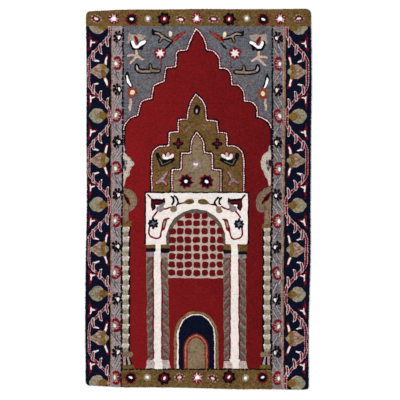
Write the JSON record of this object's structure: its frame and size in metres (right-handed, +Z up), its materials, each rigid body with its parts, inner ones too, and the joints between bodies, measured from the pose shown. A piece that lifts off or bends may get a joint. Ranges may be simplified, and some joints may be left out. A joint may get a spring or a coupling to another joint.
{
  "type": "oriental prayer rug",
  "caption": "Flat hand-tufted wool prayer rug with an arched niche, columns and flower borders, lying pile side up on the floor.",
  "frame": {"origin": "on the floor, under the middle of the rug's box", "axes": "+Y along the length, towards the head of the niche; +X to the right seen from above; +Z up, out of the pile"},
  "size_m": [0.9136, 1.538, 0.012],
  "materials": {
    "wool_pile": "matt cut wool pile, cotton cloth behind"
  },
  "bodies": {
    "root": {"rug": "wool_pile"}
  },
  "joints": []
}
